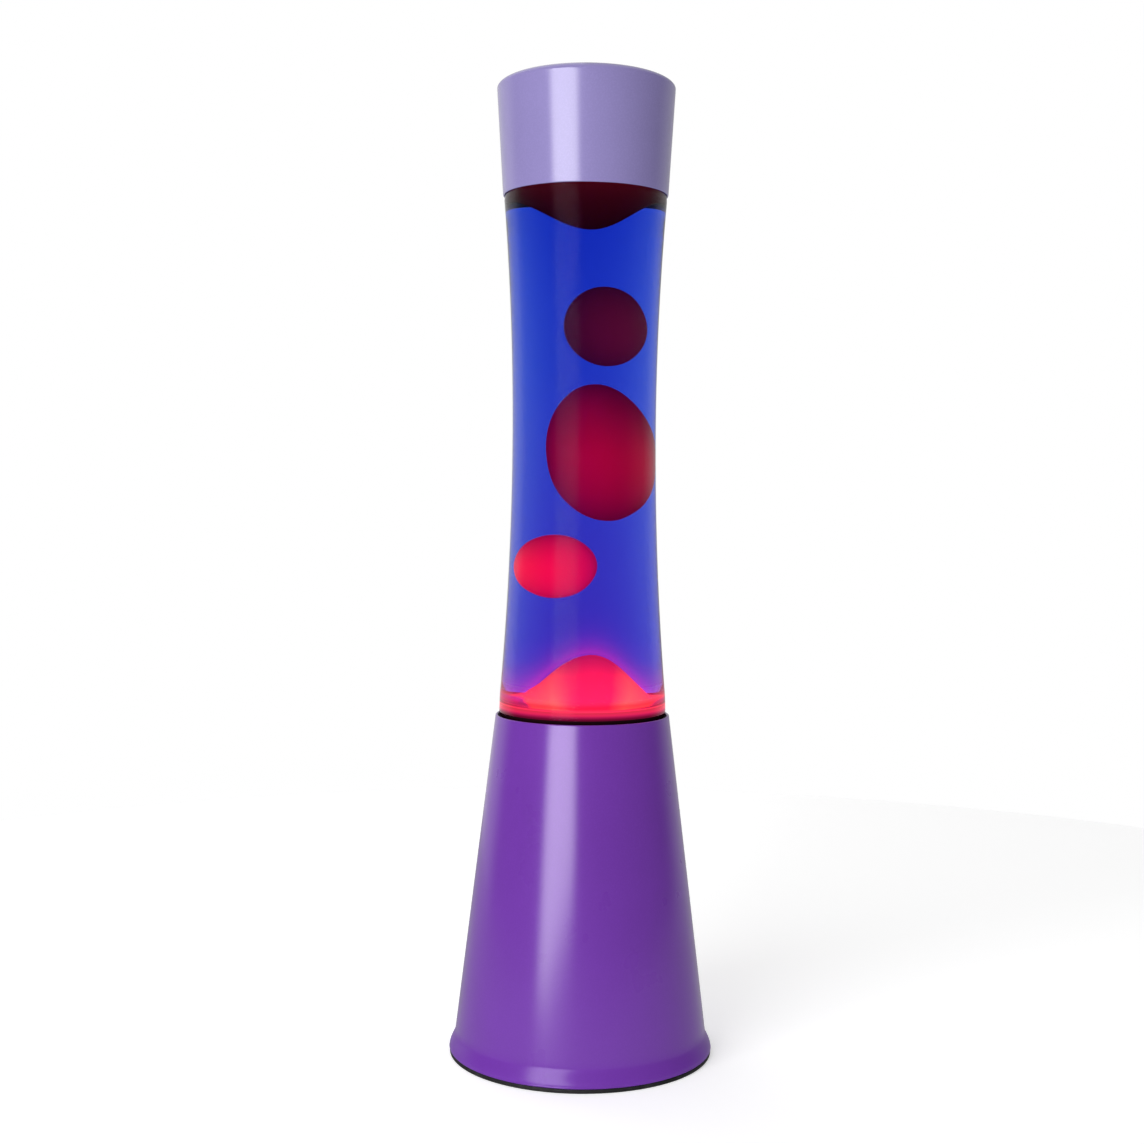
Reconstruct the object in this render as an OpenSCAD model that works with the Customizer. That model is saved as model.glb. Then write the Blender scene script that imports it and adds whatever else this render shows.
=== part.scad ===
// Lava lamp: a glass bottle of liquid and wax on a spun metal base, under a spun metal cap.
// Millimetres, +Z up. The origin is the middle of the foot ring's underside; the cord leaves at +Y.

/* [Overall] */
// Height from the table to the top of the cap
lamp_h = 400; // [396:1:404]

/* [Base] */
// Height of the rim of the base
base_h = 140.5; // [139.5:0.5:141.5]
// Radius of the straight cone where it would meet the table
cone_foot_r = 53.1; // [52:0.1:55]
// Outer radius of the cone at its rim
cone_rim_r = 35.85; // [35.7:0.05:36.2]
// How far the foot flares out past the cone
flare_out = 1.6; // [1:0.1:2]
// Thickness of the spun sheet
sheet_t = 1.05; // [0.8:0.05:1.1]
// Height of the rubber foot ring
foot_ring_h = 1.8; // [1.6:0.1:2.2]
// Thickness of the bottom plate
plate_t = 2; // [1.8:0.1:2.4]

/* [Bottle] */
// Outer radius of the bottle at its waist
waist_r = 29.43; // [29.2:0.05:29.6]
// Height of the waist above the table
waist_z = 258; // [255:1:261]
// Radius of the bottle's side curve below the waist
curve_below = 1260; // [1250:10:1350]
// Radius of the bottle's side curve above the waist
curve_above = 1145; // [1140:5:1250]
// Thickness of the bottle's wall
glass_t = 2.5; // [2:0.1:2.6]
// Thickness of the bottle's floor
floor_t = 6; // [5.5:0.1:6.5]
// Radius of the neck under the crown
neck_r = 12.7; // [12.5:0.1:13]

/* [Top cap] */
// Outer radius of the cap at its lower edge
cap_edge_r = 33.75; // [33.7:0.05:34]
// Outer radius of the cap's taper at its top
cap_top_r = 36.6; // [36:0.1:37]
// Height of the cap
cap_h = 47.3; // [46:0.1:48]
// How far in from its side the cap's top corner starts to round over
cap_corner_w = 14; // [10:0.5:16]
// How far down the cap's side its top corner reaches
cap_corner_h = 4.3; // [3.6:0.1:5]
// Thickness of the cap's sheet
cap_t = 0.7; // [0.6:0.05:0.75]

/* [Wax] */
// Height of the mound above the layer of wax on the bottle's floor
mound_h = 19; // [15:0.5:20]
// Radius of the mound at its foot
mound_r = 21; // [19:0.5:22]
// How far the pool of wax at the top bulges down
pool_drop = 15.7; // [12:0.1:16]

/* [Bulb and holder] */
// Radius of the reflector bulb
bulb_r = 19.5; // [18:0.5:20]
// Length of the bulb from its contact to its face
bulb_len = 67.5; // [66:0.5:68]
// Gap between the bulb's face and the underside of the bottle
bulb_gap = 14.5; // [14:0.5:16]

/* [Cord entry] */
// Radius of the grommet's bore
cord_r = 3.2; // [3:0.1:3.5]
// Height of the cord entry above the table
cord_z = 17; // [16.5:0.5:20]

/* [Hidden] */

$fn = 96;
fit_gap = 0.05;        // between pieces that rest on each other
move_gap = 0.25;       // between pieces that come apart

// heights that follow from the driving dimensions
bottle_z = base_h - 2;               // underside of the bottle
floor_z = bottle_z + floor_t;        // top of the bottle's floor
wax_layer_z = floor_z + 1.5;         // top of the wax layer on the floor
cap_z = lamp_h - cap_h;              // lower edge of the cap
shoulder_z = cap_z - 2.3;            // where the bottle's side turns in
neck_z = shoulder_z + 18.6;          // bottom of the straight neck
lip_z = shoulder_z + 36.8;           // top of the bottle's glass lip
bulb_z = bottle_z - bulb_gap - bulb_len;   // tip of the bulb's contact
plate_top = foot_ring_h + plate_t;   // top of the bottom plate
bridge_z = bulb_z - 18.5;            // top of the holder bracket's bridge

// wax pieces that drift: [x, height of the middle, half width, half height, egg shape]
large_wax = [5.5, 248.2, 17.4, 27.9, 0.06];
small_wax = [6.5, 299.6, 12.4, 16.1, 0.03];
low_wax = [-9, 201.5, 13.2, 13, 0.02];
mound_x = 2.6;

// ---------------------------------------------------------------- outlines

function smooth(t) = let (c = max(0, min(1, t))) c * c * (3 - 2 * c);

function arc(centre, r, from, to, steps) = [
    for (i = [0:steps])
        let (a = from + (to - from) * i / steps)
        [centre[0] + r * cos(a), centre[1] + r * sin(a)]
];

function reverse(list) = [for (i = [len(list) - 1:-1:0]) list[i]];

// outer radius of the base: a straight cone whose foot flares out
function base_r(z) = cone_foot_r + (cone_rim_r - cone_foot_r) * z / base_h
    + flare_out * smooth((9 - z) / 6.2);

// outer radius of the bottle's side, two shallow arcs that meet at the waist
heel_r = 34.4;
function side_r(z) = min(heel_r,
    waist_r + pow(z - waist_z, 2) / (2 * (z < waist_z ? curve_below : curve_above)));

// an egg-shaped outline from its bottom point to its top point
function egg(w, grow = 0, steps = 24) = [
    for (i = [0:steps])
        let (a = 180 * i / steps)
        [max(0, (w[2] + grow) * sin(a) * (1 + w[4] * cos(a))), w[1] - (w[3] + grow) * cos(a)]
];

// the mound's outline, a bell
function mound(grow = 0, steps = 14) = [
    for (i = [0:steps])
        let (r = mound_r * i / steps)
        [r + grow * i / steps, wax_layer_z + grow + mound_h * cos(90 * r / mound_r)]
];

shoulder_r = 11;       // radius of the shoulder's arc
shoulder_turn = 60;    // degrees that the shoulder's arc turns through
function shoulder(inset) = arc([side_r(shoulder_z) - shoulder_r, shoulder_z], shoulder_r - inset,
                               0, shoulder_turn, 8);

// where the pool of wax at the top meets the inside of the shoulder
pool_edge_z = shoulder_z + 4.1;
pool_edge_r = side_r(shoulder_z) - shoulder_r - 0.03
    + sqrt(pow(shoulder_r - glass_t - fit_gap, 2) - pow(pool_edge_z - shoulder_z, 2));

// lower surface of the pool, a bell that hangs down in the middle
pool_steps = 14;
function pool_under(lower = 0) = [
    for (i = [0:pool_steps])
        [pool_edge_r * i / pool_steps, pool_edge_z - lower - pool_drop * pow(cos(90 * i / pool_steps), 2)]
];

// the bottle's inner wall from the middle of its floor to the top of its shoulder
inner_corner = 5;
function inner_wall(inset = 0) = let (
    t = glass_t + inset,
    low = floor_z + inset + inner_corner,
    wall_r = side_r(low) - t,
    steps = 20
) concat(
    [[0, floor_z + inset]],
    arc([wall_r - inner_corner, low], inner_corner, -90, 0, 6),
    [for (i = [1:steps - 1]) let (z = low + (shoulder_z - low) * i / steps) [side_r(z) - t, z]],
    shoulder(t)
);

// ---------------------------------------------------------------- fasteners

screw_d = 3;
screw_hole_r = 1.65;   // clearance hole
tapped_r = 1.55;       // thread the screw turns in
head_depth = screw_d / 2;

// pan-head screw with a cross recess; the head's top is at z = 0 and the shank points down
module screw(d, length) {
    head_h = 0.5 * d;
    difference() {
        union() {
            translate([0, 0, -head_h]) cylinder(r = 0.92 * d, h = head_h);
            translate([0, 0, -head_h - length]) cylinder(d = d, h = length + 0.1);
        }
        for (a = [0, 90])
            rotate([0, 0, a]) translate([-0.55 * d, -0.11 * d, -0.3 * d])
                cube([1.1 * d, 0.22 * d, d]);
    }
}

module hex_nut(across, bore_r, h) {
    difference() {
        cylinder(d = across / cos(30), h = h, $fn = 6);
        translate([0, 0, -1]) cylinder(r = bore_r, h = h + 2);
    }
}

module ring(r_in, r_out, z0, z1) {
    rotate_extrude() translate([r_in, z0]) square([r_out - r_in, z1 - z0]);
}

// ---------------------------------------------------------------- base

flare_steps = 10;
flare_top = 9.4;       // just above where the flare meets the straight cone
rim_round = sheet_t / 2;

function base_side(inset) = concat(
    [for (i = [0:flare_steps])
        let (z = foot_ring_h + (flare_top - foot_ring_h) * i / flare_steps) [base_r(z) - inset, z]],
    [[base_r(base_h - rim_round) - inset, base_h - rim_round]]
);

module base_wall() {
    rim_middle = [base_r(base_h - rim_round) - rim_round, base_h - rim_round];
    rotate_extrude() polygon(concat(
        base_side(0),
        arc(rim_middle, rim_round, 15, 165, 6),
        reverse(base_side(sheet_t))
    ));
}

grommet_hole_r = cord_r + 2;

module base_cone() {
    color([0.45, 0.23, 0.67]) difference() {
        base_wall();
        translate([0, 0, cord_z]) rotate([-90, 0, 0]) cylinder(r = grommet_hole_r, h = 80);
    }
}

foot_ring_in = 47.5;

module foot_ring() {
    color([0.03, 0.03, 0.035]) rotate_extrude() polygon(concat(
        [[foot_ring_in, 0]],
        arc([base_r(foot_ring_h) - 0.8, 0.6], 0.6, -90, 0, 4),
        [[base_r(foot_ring_h) - 0.2, foot_ring_h - fit_gap], [foot_ring_in, foot_ring_h - fit_gap]]
    ));
}

plate_r = 51.4;
lug_angles = [30, 150, 270];
lug_hole_at = 44;      // radius of the circle that the lug screws are on
foot_hole_at = 27;     // distance of the bracket screws from the middle
vent_in = 22;
vent_out = 39;
vent_w = 3;
vent_angles = [for (i = [0:9]) 216 + 12 * i];

module vent_slot() {
    translate([vent_in, -vent_w / 2, 0]) cube([vent_out - vent_in, vent_w, 10]);
    for (x = [vent_in, vent_out]) translate([x, 0, 0]) cylinder(d = vent_w, h = 10);
}

module bottom_plate() {
    color([0.06, 0.06, 0.07]) difference() {
        translate([0, 0, foot_ring_h]) cylinder(r = plate_r, h = plate_t);
        for (a = vent_angles) rotate([0, 0, a]) vent_slot();
        for (a = lug_angles) rotate([0, 0, a]) translate([lug_hole_at, 0, 0])
            cylinder(r = screw_hole_r, h = 10);
        for (x = [-foot_hole_at, foot_hole_at]) translate([x, 0, 0]) cylinder(r = screw_hole_r, h = 10);
    }
}

lug_w = 12;
lug_t = 1.2;
lug_h = 14;
lug_in = 39;

// three bent tabs, spot-welded to the inside of the cone, that the bottom plate screws to
module plate_lugs() {
    low = plate_top + fit_gap;
    function wall_r(z) = base_r(z) - sheet_t - fit_gap;
    color([0.55, 0.56, 0.58]) for (a = lug_angles) rotate([0, 0, a]) difference() {
        intersection() {
            translate([lug_in, -lug_w / 2, low]) cube([20, lug_w, lug_h]);
            rotate_extrude() polygon(concat(
                [[lug_in, low]],
                [for (z = [low, 6, 7, 8, 9, low + lug_h]) [wall_r(z), z]],
                [[wall_r(low + lug_h) - lug_t, low + lug_h], [wall_r(9) - lug_t, 9]],
                [[wall_r(8) - lug_t - 0.2, low + lug_t], [lug_in, low + lug_t]]
            ));
        }
        translate([lug_hole_at, 0, 0]) cylinder(r = tapped_r, h = 10);
    }
}

module plate_screws() {
    color([0.5, 0.5, 0.52]) for (a = lug_angles)
        rotate([0, 0, a]) translate([lug_hole_at, 0, foot_ring_h - head_depth - fit_gap])
            mirror([0, 0, 1]) screw(screw_d, 6);
}

seat_t = 1.4;
seat_in = 27;

// ledge inside the rim that carries the bottle; its skirt wedges in the cone
module seat_ring() {
    seat_top = bottle_z - move_gap;
    skirt = 9;
    function wall_r(z) = base_r(z) - sheet_t - fit_gap;
    color([0.04, 0.04, 0.045]) rotate_extrude() polygon([
        [seat_in, seat_top - seat_t],
        [seat_in, seat_top - 0.4],
        [seat_in + 0.4, seat_top],
        [wall_r(seat_top), seat_top],
        [wall_r(seat_top - skirt), seat_top - skirt],
        [wall_r(seat_top - skirt) - seat_t, seat_top - skirt],
        [wall_r(seat_top - seat_t) - seat_t, seat_top - seat_t]
    ]);
}

// ---------------------------------------------------------------- lampholder

bracket_w = 18;
bracket_t = 1.5;
bracket_half = 18.5;   // half the distance over the bracket's legs
foot_reach = 33;

module holder_bracket() {
    low = plate_top + fit_gap;
    color([0.6, 0.61, 0.63]) difference() {
        union() {
            translate([-bracket_half, -bracket_w / 2, bridge_z - bracket_t])
                cube([2 * bracket_half, bracket_w, bracket_t]);
            for (side = [-1, 1]) {
                translate([side * (bracket_half - bracket_t / 2), 0, (low + bridge_z) / 2])
                    cube([bracket_t, bracket_w, bridge_z - low], center = true);
                translate([side * (bracket_half + foot_reach - bracket_t) / 2, 0, low + bracket_t / 2])
                    cube([foot_reach - bracket_half + bracket_t, bracket_w, bracket_t], center = true);
            }
        }
        cylinder(r = 5.1, h = 100);
        for (x = [-foot_hole_at, foot_hole_at]) translate([x, 0, 0]) cylinder(r = screw_hole_r, h = 10);
    }
}

module bracket_screws() {
    color([0.5, 0.5, 0.52]) for (x = [-foot_hole_at, foot_hole_at])
        translate([x, 0, foot_ring_h - head_depth - fit_gap]) mirror([0, 0, 1])
            screw(screw_d, 8);
}

module bracket_nuts() {
    color([0.65, 0.66, 0.68]) for (x = [-foot_hole_at, foot_hole_at])
        translate([x, 0, plate_top + bracket_t + 2 * fit_gap]) hex_nut(5.5, tapped_r, 2.4);
}

nipple_r = 4.95;
nipple_nut_h = 2.5;
cup_floor = 2.5;
cup_top = bulb_z - 3.4;
cup_r = 13;

// hollow threaded tube that clamps the lampholder to the bracket and carries the leads up
module holder_nipple() {
    color([0.75, 0.75, 0.77]) ring(3.6, nipple_r, bridge_z - 5.5, bridge_z + cup_floor + 3);
}

module nipple_nuts() {
    color([0.65, 0.66, 0.68]) {
        for (z = [bridge_z - bracket_t - nipple_nut_h - 0.1, bridge_z + cup_floor + 0.1])
            translate([0, 0, z]) hex_nut(14, nipple_r + fit_gap, nipple_nut_h);
    }
}

module holder_base() {
    low = bridge_z + fit_gap;
    color([0.88, 0.87, 0.83]) rotate_extrude() polygon([
        [nipple_r + 0.1, low],
        [cup_r - 2, low],
        [cup_r, low + 2],
        [cup_r, cup_top],
        [cup_r - 2, cup_top],
        [cup_r - 2, low + cup_floor],
        [nipple_r + 0.1, low + cup_floor]
    ]);
}

sleeve_in = 7.3;
sleeve_out = 7.7;
insert_top = bulb_z - 1.3;

// disc that carries the contact and the thread sleeve, with a slot for each terminal
module holder_insert() {
    color([0.88, 0.87, 0.83]) difference() {
        translate([0, 0, cup_top - 1.5]) cylinder(r = 8.1, h = insert_top - cup_top + 1.5);
        for (side = [-1, 1]) translate([side * 5, 0, cup_top - 1]) cube([1.2, 3, 3], center = true);
    }
}

module holder_shell() {
    low = cup_top + fit_gap;
    top = bulb_z + 21.5;
    color([0.88, 0.87, 0.83]) rotate_extrude() polygon([
        [8.2, low], [cup_r, low], [cup_r, top - 4], [cup_r + 1.6, top - 2.6], [cup_r + 1.6, top - 0.6],
        [cup_r + 1, top], [8.8, top], [8.2, top - 0.6]
    ]);
}

module holder_sleeve() {
    color([0.83, 0.66, 0.3]) ring(sleeve_in, sleeve_out, insert_top + fit_gap, bulb_z + 19);
}

module holder_contact() {
    color([0.83, 0.66, 0.3]) difference() {
        translate([-5, -1.8, insert_top + fit_gap]) cube([8, 3.6, 0.9]);
        translate([-3.6, 0, 0]) cylinder(r = 0.8, h = 200);
    }
}

terminal_x = 5;
terminal_z = bridge_z + 9.8;

module holder_terminals() {
    color([0.83, 0.66, 0.3]) for (side = [-1, 1]) translate([side * terminal_x, 0, terminal_z]) {
        difference() {
            translate([-1.8, -2.4, 0]) cube([3.6, 4.8, 3.4]);
            translate([0, 0, -1]) cylinder(r = 1.25, h = 3);
        }
        translate([0, -2.4, 1.7]) rotate([90, 0, 0]) cylinder(r = 1.3, h = 1.2);
    }
}

// ---------------------------------------------------------------- wiring inside the base

block_y = 25;
way_x = 4.2;
way_screw_y = 3.6;
block_h = 10;
block_z = plate_top + fit_gap;
way_z = block_z + 3.8;

module terminal_block() {
    color([0.9, 0.89, 0.84]) difference() {
        union() {
            translate([-8.4, block_y - 4, block_z]) cube([16.8, 8, 2]);
            for (side = [-1, 1]) translate([side * way_x, block_y, block_z + 1])
                translate([-3.7, -6.5, 0]) cube([7.4, 13, block_h - 1]);
        }
        for (side = [-1, 1]) {
            translate([side * way_x, block_y - 10, way_z]) rotate([-90, 0, 0]) cylinder(r = 1.7, h = 20);
            for (y = [-way_screw_y, way_screw_y])
                translate([side * way_x, block_y + y, way_z]) cylinder(r = 1.8, h = 20);
        }
    }
}

module terminal_screws() {
    color([0.5, 0.5, 0.52]) for (side = [-1, 1], y = [-way_screw_y, way_screw_y])
        translate([side * way_x, block_y + y, block_z + 9]) difference() {
            translate([0, 0, -3.2]) cylinder(r = tapped_r, h = 3.2);
            translate([-2, -0.25, -0.8]) cube([4, 0.5, 2]);
        }
}

lead_r = 1.05;

// points of one lead, from its terminal block way, under the bracket and up through the nipple
function lead_points(side) = [
    [side * way_x, block_y - 1.5, way_z], [side * way_x, block_y - 8, way_z],
    [side * 3.4, 11, way_z + 0.4], [side * 2.2, 4, way_z + 3], [side * 1.6, 0.8, way_z + 10],
    [side * 1.5, 0, bridge_z - 8], [side * 1.5, 0, bridge_z], [side * 1.6, 0, bridge_z + 4.6],
    [side * 3, 0, bridge_z + 7.4], [side * 4.8, 0, terminal_z - 0.6], [side * terminal_x, 0, terminal_z + 1.6]
];

// a smooth curve through the points, each span cut in the given number of steps
function curve(p, steps) = concat([
    for (i = [0:len(p) - 2], s = [0:steps - 1])
        let (a = p[max(i - 1, 0)], b = p[i], c = p[i + 1], d = p[min(i + 2, len(p) - 1)], t = s / steps)
        b + 0.5 * t * (c - a + t * (2 * a - 5 * b + 4 * c - d + t * (3 * b - a - 3 * c + d)))
], [p[len(p) - 1]]);

function unit(v) = v / norm(v);

// a round tube along the points, as one closed solid
module tube(p, r, sides = 8) {
    n = len(p);
    across = [1, 0, 0];
    rings = [for (i = [0:n - 1])
        let (
            along = unit(p[min(i + 1, n - 1)] - p[max(i - 1, 0)]),
            u = unit(across - (across * along) * along),
            v = cross(along, u)
        )
        for (k = [0:sides - 1]) p[i] + r * (cos(360 * k / sides) * u + sin(360 * k / sides) * v)];
    walls = [for (i = [0:n - 2], k = [0:sides - 1])
        [i * sides + k, (i + 1) * sides + k, (i + 1) * sides + (k + 1) % sides, i * sides + (k + 1) % sides]];
    polyhedron(rings, concat(walls, [
        [for (k = [0:sides - 1]) k],
        [for (k = [sides - 1:-1:0]) (n - 1) * sides + k]
    ]));
}

module lead_live() {
    color([0.38, 0.2, 0.1]) tube(curve(lead_points(1), 3), lead_r);
}

module lead_neutral() {
    color([0.1, 0.25, 0.65]) tube(curve(lead_points(-1), 3), lead_r);
}

// ---------------------------------------------------------------- cord entry

grommet_flange_r = grommet_hole_r + 2.2;

module cord_grommet() {
    wall = base_r(cord_z);
    inside = wall - sheet_t - 3;
    color([0.05, 0.05, 0.055]) difference() {
        translate([0, 0, cord_z]) rotate([-90, 0, 0]) {
            translate([0, 0, inside]) cylinder(r = grommet_hole_r - 0.1, h = wall + 2.2 - inside);
            translate([0, 0, inside]) cylinder(r = grommet_flange_r, h = 2.2);
            translate([0, 0, wall + 0.4]) cylinder(r = grommet_flange_r, h = 1.8);
        }
        base_cone();
        translate([0, 0, cord_z]) rotate([-90, 0, 0]) cylinder(r = cord_r, h = 80);
    }
}

clamp_y = 39;
clamp_half = 9.5;
clamp_w = 7;
clamp_h = 7;
clamp_screw_x = 6.5;
clamped_r = 3.1;       // the groove is a little tighter than the cord

// saddle that holds the cord down against the bottom plate
module cord_clamp() {
    color([0.9, 0.89, 0.84]) difference() {
        translate([-clamp_half, clamp_y - clamp_w / 2, plate_top + fit_gap])
            cube([2 * clamp_half, clamp_w, clamp_h]);
        translate([0, clamp_y - 5, plate_top + 1.5]) rotate([-90, 0, 0]) cylinder(r = clamped_r, h = 10);
        translate([-clamped_r, clamp_y - 5, plate_top - 1]) cube([2 * clamped_r, 10, 2.5]);
        for (x = [-clamp_screw_x, clamp_screw_x]) translate([x, clamp_y, 0])
            cylinder(r = screw_hole_r, h = 20);
    }
}

module clamp_screws() {
    color([0.5, 0.5, 0.52]) for (x = [-clamp_screw_x, clamp_screw_x])
        translate([x, clamp_y, plate_top + clamp_h + head_depth + 2 * fit_gap]) screw(screw_d, 7);
}

// ---------------------------------------------------------------- bulb

bulb_face = bulb_z + bulb_len;
bulb_neck_z = bulb_z + 22;
bulb_glass_t = 0.8;

bulb_neck_r = 6.4;
bulb_dome = 14;        // height from the bulb's widest ring to its face

// outline of the reflector bulb: a neck that swells to its widest ring, then a flat dome
function swell(t) = bulb_neck_r + (bulb_r - bulb_neck_r) * smooth(t);
function bulb_outline(inset) = let (wide_z = bulb_face - bulb_dome, steps = 14) concat(
    [for (i = [0:steps])
        let (t = i / steps) [swell(t) - inset, bulb_neck_z + (wide_z - bulb_neck_z) * t]],
    [for (i = [1:8])
        let (a = 90 * i / 8)
        [(bulb_r - inset) * pow(cos(a), 0.55), wide_z + (bulb_dome - inset) * pow(sin(a), 1.3)]]
);

module bulb_glass() {
    color([0.9, 0.88, 0.82, 0.6]) rotate_extrude() polygon(concat(
        [[bulb_neck_r - bulb_glass_t, bulb_z + 19.3], [bulb_neck_r, bulb_z + 19.3]],
        bulb_outline(0),
        reverse(bulb_outline(bulb_glass_t))
    ));
}

thread_r = 6.9;
thread_pitch = 2.82;
thread_turns = 5;

// screw shell with rounded threads, drawn as rings
module bulb_screw_cap() {
    low = bulb_z + 4;
    t = 0.35;
    function thread(inset) = [
        for (i = [0:thread_turns * 8])
            [thread_r - 0.35 + 0.35 * cos(45 * i) - inset, low + 1 + thread_pitch * i / 8]
    ];
    top = low + 1 + thread_pitch * thread_turns;
    color([0.78, 0.78, 0.8]) rotate_extrude() polygon(concat(
        [[5.4, low], [thread_r - 0.5, low]],
        thread(0),
        [[thread_r, top + 3.4], [thread_r - t, top + 3.4]],
        reverse(thread(t)),
        [[5.4, low + t]]
    ));
}

module bulb_insulator() {
    color([0.03, 0.03, 0.03]) rotate_extrude() polygon([
        [0, bulb_z + 1.2], [2.6, bulb_z + 1.2], [5.3, bulb_z + 3.6], [5.3, bulb_z + 5.5], [0, bulb_z + 5.5]
    ]);
}

module bulb_contact() {
    color([0.72, 0.72, 0.74]) rotate_extrude() polygon(concat(
        arc([0, bulb_z + 2.4], 2.4, -90, -35, 5), [[2, bulb_z + 1.15], [0, bulb_z + 1.15]]
    ));
}

stem_top = bulb_z + 34;
filament_z = bulb_z + 47;
filament_r = 6;

module bulb_stem() {
    color([0.8, 0.85, 0.88, 0.5]) rotate_extrude() polygon([
        [0, bulb_z + 12], [5.2, bulb_z + 12], [5.2, bulb_z + 18], [2.4, bulb_z + 25], [2.4, stem_top - 1],
        [1.6, stem_top], [0, stem_top]
    ]);
}

// two support wires and the coil, an arc open towards the back
module bulb_filament() {
    rise = filament_z - stem_top + 3;
    tilt = atan((filament_r - 1.4) / rise);
    color([0.6, 0.6, 0.6]) {
        for (side = [-1, 1]) translate([side * 1.4, 0, stem_top - 3]) rotate([0, side * tilt, 0])
            cylinder(r = 0.3, h = rise / cos(tilt));
        translate([0, 0, filament_z]) rotate([0, 0, 180]) rotate_extrude(angle = 180)
            translate([filament_r, 0]) circle(r = 0.35);
    }
}

// ---------------------------------------------------------------- bottle

lip_r = 13.3;
bore_r = 9;

module bottle_glass() {
    heel_round = 3.4;
    punt = 1.2;
    side_low = bottle_z + heel_round;
    steps = 22;
    side = [for (i = [0:steps]) let (z = side_low + (shoulder_z - side_low) * i / steps) [side_r(z), z]];
    color([0.8, 0.87, 0.9, 0.35]) rotate_extrude() polygon(concat(
        [[0, bottle_z + punt], [22, bottle_z + punt], [26, bottle_z]],
        arc([heel_r - heel_round, side_low], heel_round, -90, -15, 5),
        side,
        shoulder(0),
        arc([neck_r + 4, neck_z + 1], 4, 240, 180, 4),
        [[neck_r, neck_z + 5], [neck_r + 1.6, neck_z + 5.8], [neck_r + 1.6, neck_z + 7.6]],
        [[neck_r - 0.3, neck_z + 8.6], [neck_r - 0.3, lip_z - 5.4], [lip_r, lip_z - 4.4]],
        arc([lip_r - 1.6, lip_z - 1.6], 1.6, 0, 90, 4),
        [[bore_r, lip_z], [bore_r, neck_z - 2]],
        reverse(inner_wall())
    ));
}

module mound_bell(grow = 0) {
    translate([mound_x, 0, 0]) rotate_extrude() polygon(concat(
        mound(grow), [[mound_r + grow, wax_layer_z - 1], [0, wax_layer_z - 1]]
    ));
}

// everything inside the bottle below the pool of wax
module liquid() {
    wall = inner_wall(fit_gap);
    side = [for (p = wall) if (p[1] > wax_layer_z + fit_gap && p[1] < pool_edge_z - 0.2) p];
    low = [for (p = wall) if (p[0] > 20 && p[1] <= wax_layer_z + fit_gap) p];
    corner_r = low[len(low) - 1][0];
    color([0.15, 0.22, 0.78, 0.5]) difference() {
        rotate_extrude() polygon(concat(
            [[0, wax_layer_z + fit_gap], [corner_r, wax_layer_z + fit_gap]],
            side,
            reverse(pool_under(fit_gap))
        ));
        mound_bell(fit_gap);
        for (w = [large_wax, small_wax, low_wax]) drifting_wax(w, 2 * fit_gap);
    }
}

module wax_mound() {
    wall = inner_wall(fit_gap);
    low = [for (p = wall) if (p[1] <= wax_layer_z) p];
    color([0.95, 0.12, 0.3]) union() {
        rotate_extrude() polygon(concat(low, [[low[len(low) - 1][0], wax_layer_z], [0, wax_layer_z]]));
        mound_bell();
    }
}

coil_r = 14;
coil_turns = 30;
coil_wind_r = 1.9;
wire_r = 0.4;

// steel spring bent into a ring that lies in the wax on the floor
module heating_coil() {
    per_turn = 8;
    sides = 5;
    count = coil_turns * per_turn;
    middle = [mound_x, 0, floor_z + 0.3 + wire_r + coil_wind_r];
    function hub(i) = middle + coil_r * [cos(360 * i / count), sin(360 * i / count), 0];
    function out(i) = let (a = 360 * i / count, b = 360 * i / per_turn)
        [cos(a) * cos(b), sin(a) * cos(b), sin(b)];
    function at(i) = hub(i) + coil_wind_r * out(i);
    points = [for (i = [0:count - 1])
        let (u = out(i), v = cross(unit(at(i + 1) - at(i - 1)), u))
        for (k = [0:sides - 1]) at(i) + wire_r * (cos(360 * k / sides) * u + sin(360 * k / sides) * v)];
    color([0.7, 0.7, 0.72]) polyhedron(points, [
        for (i = [0:count - 1], k = [0:sides - 1])
            let (j = (i + 1) % count, m = (k + 1) % sides, a = i * sides, b = j * sides)
            each [[a + k, b + k, b + m], [a + k, b + m, a + m]]
    ]);
}

module wax_pool() {
    wall = [for (p = shoulder(glass_t + fit_gap)) if (p[1] > pool_edge_z) p];
    top = wall[len(wall) - 1][1];
    color([0.2, 0.02, 0.05]) rotate_extrude() polygon(concat(
        pool_under(),
        wall,
        [[0, top]]
    ));
}

flutes = 21;
liner_r = 12.2;

module crown_cap() {
    skirt_low = lip_z - 5.2;
    top = lip_z + 0.85;
    t = 0.35;
    function wavy(r, depth) = [
        for (i = [0:flutes * 6 - 1])
            let (a = 60 * i / flutes) (r + depth * cos(60 * i)) * [cos(a), sin(a)]
    ];
    color([0.78, 0.72, 0.5]) difference() {
        union() {
            translate([0, 0, skirt_low]) linear_extrude(3.2) polygon(wavy(15.2, 0.5));
            rotate_extrude() polygon(concat(
                [[0, skirt_low + 3.1], [14.9, skirt_low + 3.1]],
                arc([12.4, top - 2.4 + t], 2.4, 0, 90, 6),
                [[0, top + t]]
            ));
        }
        translate([0, 0, skirt_low - 1]) cylinder(r = lip_r + 0.4, h = lip_z + fit_gap - skirt_low + 1);
        translate([0, 0, skirt_low - 1]) cylinder(r = liner_r + 0.2, h = top - skirt_low + 1);
    }
}

module crown_liner() {
    color([0.9, 0.9, 0.88]) translate([0, 0, lip_z + fit_gap]) cylinder(r = liner_r, h = 0.75);
}

// ---------------------------------------------------------------- drifting wax

module drifting_wax(w, grow = 0) {
    translate([w[0], 0, 0]) rotate_extrude() polygon(egg(w, grow));
}

module wax_large() {
    color([0.6, 0.02, 0.2]) drifting_wax(large_wax);
}

module wax_small() {
    color([0.3, 0.05, 0.16]) drifting_wax(small_wax);
}

module wax_low() {
    color([0.9, 0.05, 0.28]) drifting_wax(low_wax);
}

// ---------------------------------------------------------------- top cap

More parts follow.
